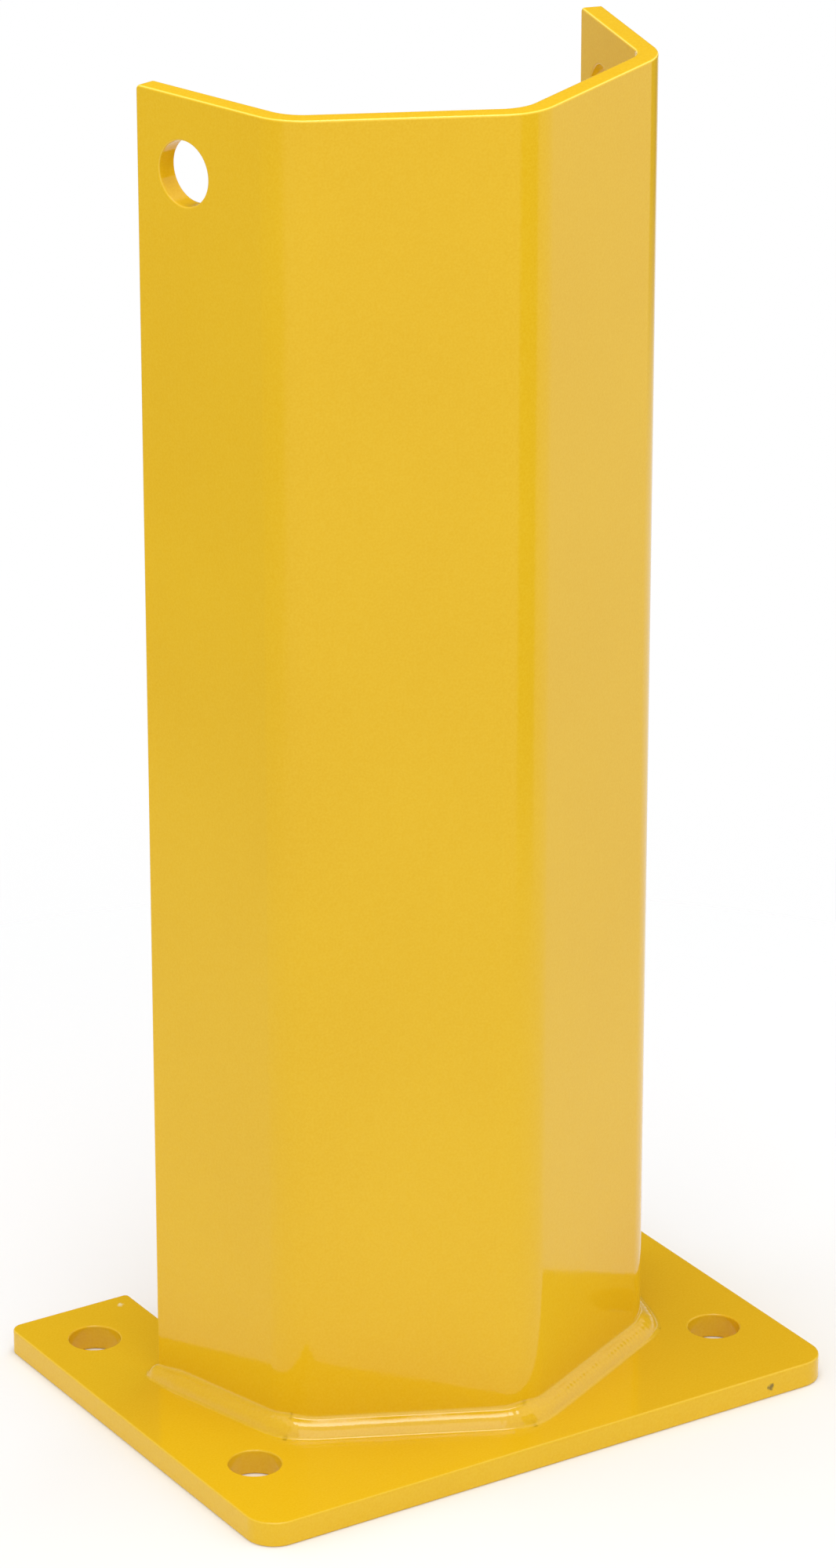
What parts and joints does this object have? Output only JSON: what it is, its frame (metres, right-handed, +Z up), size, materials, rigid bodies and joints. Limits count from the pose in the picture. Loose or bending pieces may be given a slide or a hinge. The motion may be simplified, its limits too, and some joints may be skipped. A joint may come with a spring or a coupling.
{
  "type": "steel column guard",
  "caption": "Open angular steel guard plate, bent at the nose and shoulders, welded upright on a notched rectangular anchor plate with bolt holes.",
  "frame": {"origin": "centre of the anchor plate's underside, on the floor", "axes": "+Z up along the guard, -Y out of the guard's nose towards the traffic, +X along the anchor plate's long side"},
  "size_m": [0.2032, 0.1524, 0.4143],
  "materials": {
    "plate_coat": "glossy safety-yellow powder coat on flat steel plate",
    "guard_coat": "glossy safety-yellow powder coat with faint orange peel on bent steel plate",
    "weld_coat": "glossy safety-yellow powder coat over a smooth convex weld bead"
  },
  "bodies": {
    "root": {"base_plate": "plate_coat", "guard": "guard_coat", "weld_left_flange": "weld_coat", "weld_left_face": "weld_coat", "weld_right_face": "weld_coat", "weld_right_flange": "weld_coat"}
  },
  "joints": []
}
